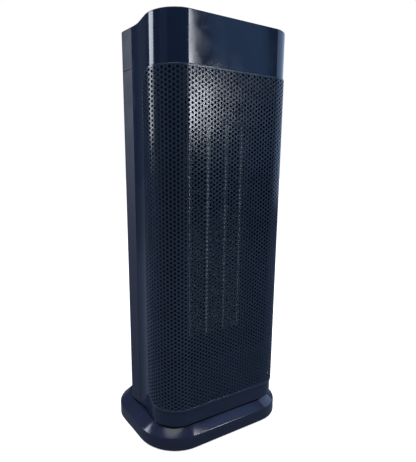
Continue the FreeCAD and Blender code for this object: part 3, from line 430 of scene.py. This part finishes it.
def rounded_ring(shape, half_x, half_y, radius, z, segments=14):
    """A closed ring of edges: a rectangle in plan with rounded corners."""
    made = bmesh.ops.create_grid(shape, x_segments=1, y_segments=1, size=1)
    for vert in made["verts"]:
        vert.co = (vert.co.x * half_x, vert.co.y * half_y, z)
    face = made["verts"][0].link_faces[0]
    bmesh.ops.delete(shape, geom=[face], context="FACES_ONLY")
    before = set(shape.edges) - {edge for vert in made["verts"] for edge in vert.link_edges}
    bmesh.ops.bevel(shape, geom=made["verts"], offset=radius, offset_type="OFFSET", segments=segments,
                    profile=0.5, affect="VERTICES", material=-1)
    return [edge for edge in shape.edges if edge not in before]


# ---------------------------------------------------------------- base

COVER_SKIN = 2.5 * MM
FOOT_BEVEL = 0.8 * MM
NECK_HOLE = 20 * MM


def make_base(sizes):
    """Moulded cover: a bevelled foot, an upright wall, a straight shoulder and a flat top with a hole."""
    low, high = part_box("base_cover")
    shape = bmesh.new()
    # how far each ring comes in at the sides and at the front, and its height
    levels = [(FOOT_BEVEL, FOOT_BEVEL, low.z),
              (0, 0, low.z + FOOT_BEVEL),
              (0, 0, sizes.knee),
              (sizes.side_run, sizes.front_run, high.z)]
    rings = []
    for side, front, z in levels:
        radius = sizes.corner - (side + front) / 2
        rings.append(rounded_ring(shape, high.x - side, high.y - front, radius, z))
    for lower, upper in zip(rings, rings[1:]):
        bmesh.ops.bridge_loops(shape, edges=lower + upper)
    neck = bmesh.ops.create_circle(shape, segments=len(rings[-1]), radius=NECK_HOLE)["verts"]
    for vert in neck:
        vert.co.z = high.z
    around = {edge for vert in neck for edge in vert.link_edges}
    bmesh.ops.bridge_loops(shape, edges=rings[-1] + list(around))
    bmesh.ops.recalc_face_normals(shape, faces=shape.faces)
    bmesh.ops.bevel(shape, geom=rings[2], offset=sizes.knee_round, offset_type="OFFSET", segments=5,
                    profile=0.5, affect="EDGES", material=-1)
    bmesh.ops.solidify(shape, geom=shape.faces[:], thickness=COVER_SKIN)
    soften(add_piece(shape, "base_cover_shell", ["base_cover"]), 0.25)


# ---------------------------------------------------------------- tower shells

SHELL_EDGES = {"front_bezel": 0.35, "rear_housing": 0.3, "rear_top_cap": 0.3, "handle_cup": 0.8}  # mm


def make_shells():
    """Shells of the tower with their edges rounded."""
    for node, radius in SHELL_EDGES.items():
        soften(add_piece(merged_copy(node), node + "_shell", [node]), radius)


# ---------------------------------------------------------------- grille

class Bend:
    """Wraps a flat sheet round the front: along is the distance from the middle of the front."""

    def __init__(self, sizes):
        low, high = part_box("front_grille")
        self.front = low.y
        self.radius = sizes.bend
        self.turn = math.pi / 2 + sizes.toe_in
        self.flat = high.x - sizes.bend
        arc_end = self.front + self.radius - self.radius * math.cos(self.turn)
        self.side = (high.y - arc_end) / math.cos(sizes.toe_in)
        self.reach = self.flat + self.radius * self.turn + self.side
        self.low, self.high = low.z, high.z

    def place(self, along, z, proud=0.0):
        """Point on the bent sheet's outer face, raised by proud."""
        distance = abs(along)
        side = math.copysign(1, along)
        if distance <= self.flat:
            return Vector((along, self.front - proud, z))
        angle = min((distance - self.flat) / self.radius, self.turn)
        x = self.flat + (self.radius + proud) * math.sin(angle)
        y = self.front + self.radius - (self.radius + proud) * math.cos(angle)
        beyond = distance - self.flat - self.radius * self.turn
        if beyond > 0:
            x += beyond * math.cos(self.turn)
            y += beyond * math.sin(self.turn)
        return Vector((side * x, y, z))


CELL_TURN = Matrix.Rotation(math.radians(30), 3, "Z")
LAY_UPRIGHT = Matrix.Rotation(math.radians(90), 3, "X")
HOLE_SEGMENTS = 12


def hole_cell(sizes):
    """One six-sided cell of sheet round one round hole, flat in the XZ plane, facing -Y."""
    cell = bmesh.new()
    outer = bmesh.ops.create_circle(cell, segments=6, radius=sizes.pitch / math.sqrt(3))["verts"]
    bmesh.ops.rotate(cell, verts=outer, cent=(0, 0, 0), matrix=CELL_TURN)
    bmesh.ops.subdivide_edges(cell, edges=cell.edges[:], cuts=1)
    outside = cell.edges[:]
    inner = bmesh.ops.create_circle(cell, segments=HOLE_SEGMENTS, radius=sizes.hole / 2)["verts"]
    inside = list({edge for vert in inner for edge in vert.link_edges})
    bmesh.ops.bridge_loops(cell, edges=outside + inside)
    bmesh.ops.rotate(cell, verts=cell.verts, cent=(0, 0, 0), matrix=CELL_TURN)
    bmesh.ops.rotate(cell, verts=cell.verts, cent=(0, 0, 0), matrix=LAY_UPRIGHT)
    for face in cell.faces:
        face.normal_update()
        if face.normal.y > 0:
            face.normal_flip()
    mesh = bpy.data.meshes.new("hole_cell")
    cell.to_mesh(mesh)
    cell.free()
    return mesh


def inside_sheet(bend, sizes, along, z, margin):
    """True where a hole's middle lies inside the sheet's rounded outline, less a margin."""
    across = bend.reach - margin - abs(along)
    up = min(z - bend.low, bend.high - z) - margin
    if across < 0 or up < 0:
        return False
    radius = sizes.corner - margin
    if across < radius and up < radius:
        return math.hypot(radius - across, radius - up) < radius
    return True


MARGIN_SHARE = 0.45  # share of the rim's width that stays free of hole middles
WELD = 0.02 * MM
SHEET_BACK = 0.08 * MM  # the sheet lies this far behind the rim's face


def make_grille(sizes):
    """Perforated sheet in two halves, laid out flat and wrapped round the front, with its rim."""
    bend = Bend(sizes)
    cell = hole_cell(sizes)
    step = sizes.pitch * math.sqrt(3) / 2
    columns = int(bend.reach / step) + 1
    rows = int((bend.high - bend.low) / sizes.pitch) + 2
    margin = sizes.rim * MARGIN_SHARE
    at = Vector((0, 0, 0))
    for name, first, last in (("left", -columns, 0), ("right", 0, columns)):
        shape = bmesh.new()
        for column in range(first, last):
            along = (column + 0.5) * step
            for row in range(rows):
                z = bend.low + sizes.pitch * (row + 0.5 * (column % 2))
                if inside_sheet(bend, sizes, along, z, margin):
                    target = Vector((along, 0, z))
                    cell.transform(Matrix.Translation(target - at))
                    at = target
                    shape.from_mesh(cell)
        bmesh.ops.remove_doubles(shape, verts=shape.verts, dist=WELD)
        for vert in shape.verts:
            along = max(-bend.reach, min(bend.reach, vert.co.x))
            z = max(bend.low, min(bend.high, vert.co.z))
            vert.co = bend.place(along, z, proud=-SHEET_BACK)
        sheet = add_piece(shape, "grille_sheet_" + name, ["front_grille"], smooth=False)
        wall = sheet.modifiers.new("sheet", "SOLIDIFY")
        wall.thickness = sizes.sheet
        wall.offset = -1
    bpy.data.meshes.remove(cell)
    make_grille_rim(bend, sizes)


RIM_SEGMENTS = 10
RIM_CUTS = 150  # cuts along the long edges, so that the rim follows the bend
RIM_THICKER = 1.15


def make_grille_rim(bend, sizes):
    """Plain rim that the perforated sheet is folded into, all round its rounded outline."""
    shape = bmesh.new()
    middle = (bend.low + bend.high) / 2
    half_z = (bend.high - bend.low) / 2
    outer = rounded_ring(shape, bend.reach, half_z, sizes.corner, 0, RIM_SEGMENTS)
    inner = rounded_ring(shape, bend.reach - sizes.rim, half_z - sizes.rim, sizes.corner - sizes.rim, 0,
                         RIM_SEGMENTS)
    bmesh.ops.bridge_loops(shape, edges=outer + inner)
    long_edges = [edge for edge in shape.edges if edge.calc_length() > bend.reach]
    crosswise = [edge for edge in long_edges if abs(edge.verts[0].co.y - edge.verts[1].co.y) < MM]
    bmesh.ops.subdivide_edges(shape, edges=crosswise, cuts=RIM_CUTS, use_grid_fill=True)
    for vert in shape.verts:
        vert.co = bend.place(vert.co.x, middle + vert.co.y)
    bmesh.ops.recalc_face_normals(shape, faces=shape.faces)
    rim = add_piece(shape, "grille_rim", ["front_grille"])
    if sum(face.normal.y * face.area for face in rim.data.polygons) > 0:
        rim.data.flip_normals()
    wall = rim.modifiers.new("fold", "SOLIDIFY")
    wall.thickness = sizes.sheet * RIM_THICKER
    wall.offset = -1
    soften(rim, 0.35)


# ---------------------------------------------------------------- heating element

BAR_COUNT = 4
BAR_LIP = 0.9 * MM
FIN_SIDE_PLAY = 0.2 * MM
FIN_END_PLAY = 0.2 * MM
FIN_SETBACK = 0.4 * MM


def make_element(sizes):
    """Grooved bars and, between each two of them, a strip folded to and fro."""
    low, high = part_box("heating_fins")
    bars_low, bars_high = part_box("heating_bars")
    bar_width = low.x - bars_low.x
    pitch = (bars_high.x - bars_low.x - bar_width) / (BAR_COUNT - 1)
    shape = bmesh.new()
    for place in range(BAR_COUNT):
        left = bars_low.x + pitch * place
        made = bmesh.ops.create_cube(shape, size=1)["verts"]
        size = Vector((bar_width, high.y - low.y, high.z - low.z))
        middle = Vector((left + bar_width / 2, (low.y + high.y) / 2, (low.z + high.z) / 2))
        bmesh.ops.scale(shape, verts=made, vec=size)
        bmesh.ops.translate(shape, verts=made, vec=middle)
        front = [face for face in {face for vert in made for face in vert.link_faces}
                 if all(vert.co.y < middle.y for vert in face.verts)]
        bmesh.ops.inset_region(shape, faces=front, thickness=BAR_LIP, depth=0)
        bmesh.ops.translate(shape, verts=front[0].verts[:], vec=(0, sizes.bar_wall, 0))
    soften(add_piece(shape, "heater_bar_channels", ["heating_bars"]), 0.25, 2)

    shape = bmesh.new()
    folds = int((high.z - low.z) / sizes.fin_pitch)
    rise = (high.z - low.z) / folds
    front_edge = low.y + FIN_SETBACK
    for place in range(BAR_COUNT - 1):
        left = bars_low.x + bar_width + pitch * place + FIN_SIDE_PLAY
        right = left + pitch - bar_width - 2 * FIN_SIDE_PLAY
        corners = [shape.verts.new((left, front_edge, low.z + FIN_END_PLAY))]
        edges = []
        for fold in range(folds):
            for x, part in ((right, 0.5), (left, 1.0)):
                z = low.z + rise * (fold + part) - FIN_END_PLAY
                corners.append(shape.verts.new((x, front_edge, z)))
                edges.append(shape.edges.new(corners[-2:]))
        made = bmesh.ops.extrude_edge_only(shape, edges=edges)["geom"]
        back = [item for item in made if isinstance(item, bmesh.types.BMVert)]
        bmesh.ops.translate(shape, verts=back, vec=(0, high.y - low.y - 2 * FIN_SETBACK, 0))
    fins = add_piece(shape, "fin_strips", ["heating_fins"], smooth=False)
    wall = fins.modifiers.new("strip", "SOLIDIFY")
    wall.thickness = sizes.fin_gauge
    wall.offset = 0


# ---------------------------------------------------------------- top, back and small pieces

def make_controls():
    """Control panel, its keys with well-rounded edges, and the window over the display."""
    soften(add_piece(merged_copy("control_panel"), "control_panel_plate", ["control_panel"]), 0.3)
    for node in [name for name in frame["nodes"] if name.startswith("button_")]:
        soften(add_piece(merged_copy(node), node + "_cap", [node]), 0.5, 4)
    soften(add_piece(merged_copy("display_window"), "display_lens", ["display_window"]), 0.25)


def island_boxes(node):
    """Lowest and highest corner of each separate solid in a CAD node."""
    shape = merged_copy(node)
    left = set(shape.verts)
    boxes = []
    while left:
        island = set()
        waiting = [left.pop()]
        while waiting:
            vert = waiting.pop()
            island.add(vert)
            found = {edge.other_vert(vert) for edge in vert.link_edges} & left
            left -= found
            waiting += found
        spots = [vert.co for vert in island]
        boxes.append((Vector(map(min, zip(*spots))), Vector(map(max, zip(*spots)))))
    shape.free()
    return boxes


def highest_face(shape):
    return max(shape.faces, key=lambda face: face.calc_center_median().z)


HEAD_SEGMENTS = 24
HEAD_ROUND = 0.6  # share of the head's height that is rounded off
HEAD_RIM = 0.12  # this and the next three are shares of the head's radius
CROSS_REACH, CROSS_WAIST = 0.62, 0.24
CROSS_TAPER = 0.02
CROSS_DEPTH = 0.7  # share of the head's height
FLAT_HEAD = 0.7  # height of an underside head as a share of its radius


def screw_head(shape, radius, height):
    """A pan head alone in its mesh, its foot at z = 0, with a cross recess in its top."""
    made = bmesh.ops.create_cone(shape, cap_ends=True, segments=HEAD_SEGMENTS, radius1=radius,
                                 radius2=radius, depth=height)["verts"]
    bmesh.ops.translate(shape, verts=made, vec=(0, 0, height / 2))
    bmesh.ops.bevel(shape, geom=highest_face(shape).edges[:], offset=height * HEAD_ROUND,
                    offset_type="OFFSET", segments=4, profile=0.5, affect="EDGES", material=-1)
    top = highest_face(shape)
    bmesh.ops.inset_region(shape, faces=[top], thickness=radius * HEAD_RIM, depth=0)
    for vert in top.verts:
        # the four arms of the cross repeat every six of the 24 corners, each arm three corners wide
        step = round(math.atan2(vert.co.y, vert.co.x) / math.tau * HEAD_SEGMENTS) % 6
        share = CROSS_REACH if step in (0, 1, 5) else CROSS_WAIST
        vert.co.xy = vert.co.xy.normalized() * radius * share
    bmesh.ops.inset_region(shape, faces=[top], thickness=radius * CROSS_TAPER,
                           depth=-height * CROSS_DEPTH)


def make_screws(node, outward):
    """Screw heads in place of the plain ones, on the outer end of each solid of the node."""
    turn = Vector((0, 0, 1)).rotation_difference(outward)
    shape = bmesh.new()
    for low, high in island_boxes(node):
        middle = (low + high) / 2
        half = (high - low) / 2
        radius = max(half.x, min(half.y, half.z))
        height = min(high - low) if outward.y else radius * FLAT_HEAD
        foot = middle + Vector([half[axis] * outward[axis] for axis in range(3)]) - outward * height
        head = bmesh.new()
        screw_head(head, radius, height)
        head.transform(Matrix.Translation(foot) @ turn.to_matrix().to_4x4())
        loose = bpy.data.meshes.new("screw_head")
        head.to_mesh(loose)
        head.free()
        shape.from_mesh(loose)
        bpy.data.meshes.remove(loose)
    add_piece(shape, node + "_heads", [node])


def make_back():
    """Slotted door, cord gland, feet, base plate, and the screws of the back and the underside."""
    soften(add_piece(merged_copy("intake_door"), "intake_door_louvres", ["intake_door"]), 0.4)
    soften(add_piece(merged_copy("cord_gland"), "cord_gland_sleeve", ["cord_gland"]), 0.5)
    soften(add_piece(merged_copy("rubber_feet"), "rubber_feet_pads", ["rubber_feet"]), 0.4)
    make_screws("rear_screws", Vector((0, 1, 0)))
    make_screws("base_screws", Vector((0, 0, -1)))
    soften(add_piece(merged_copy("base_plate"), "base_plate_pan", ["base_plate"]), 0.4)


def dress_frame():
    """Give each CAD node that still shows the finish of its slot."""
    for node, thing in frame["nodes"].items():
        thing.data.materials.clear()
        thing.data.materials.append(FINISHES[SLOTS[node]])


# ---------------------------------------------------------------- stage

def add_lamp(name, kind, place, aim, power, code):
    """A lamp at a place, turned to shine at its aim."""
    data = bpy.data.lights.new(name, kind)
    data.energy = power
    data.color = linear(code)[:3]
    lamp = bpy.data.objects.new(name, data)
    bpy.context.scene.collection.objects.link(lamp)
    lamp.location = place
    lamp.rotation_euler = (Vector(aim) - Vector(place)).to_track_quat("-Z", "Y").to_euler()
    return data


HEATER_MIDDLE = (0, 0, 0.45)  # what the panels shine at
SOFT_PANELS = [
    # name, place, width, height, power, colour
    ("front_softbox", (-0.3, -0.75, 2.7), 1.2, 0.8, 30, "#f4f8ff"),
    ("front_pane", (0.89, -1.74, 1.1), 0.1, 0.6, 2.4, "#f0f5ff"),
    ("front_low_pane", (1.04, -1.72, 0.78), 0.18, 0.28, 5.2, "#f0f5ff"),
    ("front_wall", (1.42, -1.72, 1.0), 0.5, 1.2, 1.25, "#86b4f0"),
    ("side_pane", (-1.34, 0.82, 0.88), 0.6, 0.66, 11, "#e9f1ff"),
    ("side_wall", (-1.5, -0.6, 0.9), 0.8, 0.9, 0.4, "#a9c2ec"),
    ("right_wall", (1.79, -0.13, 0.9), 2.1, 1.4, 14, "#a9c2ec"),
]


def make_floor():
    floor = bmesh.new()
    bmesh.ops.create_grid(floor, x_segments=1, y_segments=1, size=60)
    mesh = bpy.data.meshes.new("stage_floor")
    floor.to_mesh(mesh)
    floor.free()
    mesh.materials.append(stage_paint())
    plane = bpy.data.objects.new("stage_floor", mesh)
    bpy.context.scene.collection.objects.link(plane)


def make_sky():
    """Plain white backdrop that gives the heater only a dim bluish light."""
    sky = bpy.data.worlds.new("studio_sky")
    bpy.context.scene.world = sky
    sky.use_nodes = True
    tree = sky.node_tree
    tree.nodes.clear()
    dim = add_node(tree, "ShaderNodeBackground", {"Color": linear("#b9cbe6"), "Strength": 0.13})
    white = add_node(tree, "ShaderNodeBackground", {"Color": (1, 1, 1, 1), "Strength": 1.0})
    seen = add_node(tree, "ShaderNodeLightPath").outputs["Is Camera Ray"]
    mix = add_node(tree, "ShaderNodeMixShader", {0: seen, 1: dim.outputs[0], 2: white.outputs[0]})
    add_node(tree, "ShaderNodeOutputWorld", {"Surface": mix.outputs[0]})


def make_lights():
    """A wide soft light from above, and panels that the gloss shell mirrors as long bright lines."""
    ceiling = add_lamp("ceiling_light", "SUN", (-0.1, -0.25, 3), (0, 0, 0), 1.9, "#ffffff")
    ceiling.angle = math.radians(64)
    for name, place, width, height, power, code in SOFT_PANELS:
        panel = add_lamp(name, "AREA", place, HEATER_MIDDLE, power, code)
        panel.shape = "RECTANGLE"
        panel.size, panel.size_y = width, height


CAMERA_PLACE = (-0.3459, -0.4973, 0.3730)
AZIMUTH, PITCH, ROLL = (math.radians(angle) for angle in (-30.39, 11.65, -0.57))


def make_camera():
    """Camera near the left front, a little above the middle, looking slightly down."""
    view = bpy.data.cameras.new("studio_camera")
    view.sensor_width = 36
    view.lens = 31.31
    view.shift_x = 0.088
    view.shift_y = 0.062
    view.clip_start = 0.01
    camera = bpy.data.objects.new("studio_camera", view)
    bpy.context.scene.collection.objects.link(camera)
    ahead = Vector((-math.sin(AZIMUTH) * math.cos(PITCH), math.cos(AZIMUTH) * math.cos(PITCH),
                    -math.sin(PITCH)))
    level = Vector((math.cos(AZIMUTH), math.sin(AZIMUTH), 0))
    upward = level.cross(ahead)
    right = math.cos(ROLL) * level + math.sin(ROLL) * upward
    above = -math.sin(ROLL) * level + math.cos(ROLL) * upward
    turn = Matrix((right, above, -ahead)).transposed().to_4x4()
    camera.matrix_world = Matrix.Translation(CAMERA_PLACE) @ turn
    bpy.context.scene.camera = camera


def make_stage():
    bpy.context.scene.view_settings.view_transform = "Standard"
    make_floor()
    make_sky()
    make_lights()
    make_camera()


# ---------------------------------------------------------------- operators, panel and run

class HEATER_OT_finishes(bpy.types.Operator):
    """Make every finish and dress the design's own pieces with them"""
    bl_idname = "heater.finishes"
    bl_label = "Finishes"

    def execute(self, context):
        make_finishes(context.scene.heater.colours)
        dress_frame()
        return {"FINISHED"}


class HEATER_OT_base(bpy.types.Operator):
    """Model the oval base cover"""
    bl_idname = "heater.base"
    bl_label = "Base"

    def execute(self, context):
        make_base(context.scene.heater.base)
        return {"FINISHED"}


class HEATER_OT_shells(bpy.types.Operator):
    """Model the front shell, the rear housing, the rear cap and the finger recess"""
    bl_idname = "heater.shells"
    bl_label = "Tower shells"

    def execute(self, context):
        make_shells()
        return {"FINISHED"}


class HEATER_OT_grille(bpy.types.Operator):
    """Perforate the front sheet and wrap it round the tower"""
    bl_idname = "heater.grille"
    bl_label = "Grille"

    def execute(self, context):
        make_grille(context.scene.heater.grille)
        return {"FINISHED"}


class HEATER_OT_element(bpy.types.Operator):
    """Model the heater bars and the folded fin strips"""
    bl_idname = "heater.element"
    bl_label = "Heating element"

    def execute(self, context):
        make_element(context.scene.heater.element)
        return {"FINISHED"}


class HEATER_OT_controls(bpy.types.Operator):
    """Model the control panel, its keys and its window"""
    bl_idname = "heater.controls"
    bl_label = "Controls"

    def execute(self, context):
        make_controls()
        return {"FINISHED"}


class HEATER_OT_back(bpy.types.Operator):
    """Model the intake door, the cord gland, the screws, the feet and the base plate"""
    bl_idname = "heater.back"
    bl_label = "Back and underside"

    def execute(self, context):
        make_back()
        return {"FINISHED"}


class HEATER_OT_stage(bpy.types.Operator):
    """Set the floor, the lights and the camera"""
    bl_idname = "heater.stage"
    bl_label = "Stage"

    def execute(self, context):
        make_stage()
        return {"FINISHED"}


OPERATORS = [HEATER_OT_stage, HEATER_OT_finishes, HEATER_OT_base, HEATER_OT_shells, HEATER_OT_grille,
             HEATER_OT_element, HEATER_OT_controls, HEATER_OT_back]


class HEATER_PT_panel(bpy.types.Panel):
    """Lists the steps that build the heater"""
    bl_idname = "HEATER_PT_panel"
    bl_label = "Tower heater"
    bl_space_type = "VIEW_3D"
    bl_region_type = "UI"
    bl_category = "Heater"

    def draw(self, context):
        for step in OPERATORS:
            self.layout.operator(step.bl_idname)


CLASSES = [GrilleSizes, BaseSizes, ElementSizes, FinishColours, HeaterSettings, *OPERATORS,
           HEATER_PT_panel]


def register():
    for item in CLASSES:
        bpy.utils.register_class(item)
    bpy.types.Scene.heater = bpy.props.PointerProperty(type=HeaterSettings)


def unregister():
    del bpy.types.Scene.heater
    for item in reversed(CLASSES):
        bpy.utils.unregister_class(item)


def main():
    register()
    bpy.ops.heater.stage()
    bpy.ops.heater.finishes()
    bpy.ops.heater.base()
    bpy.ops.heater.shells()
    bpy.ops.heater.grille()
    bpy.ops.heater.element()
    bpy.ops.heater.controls()
    bpy.ops.heater.back()


if __name__ == "__main__":
    main()
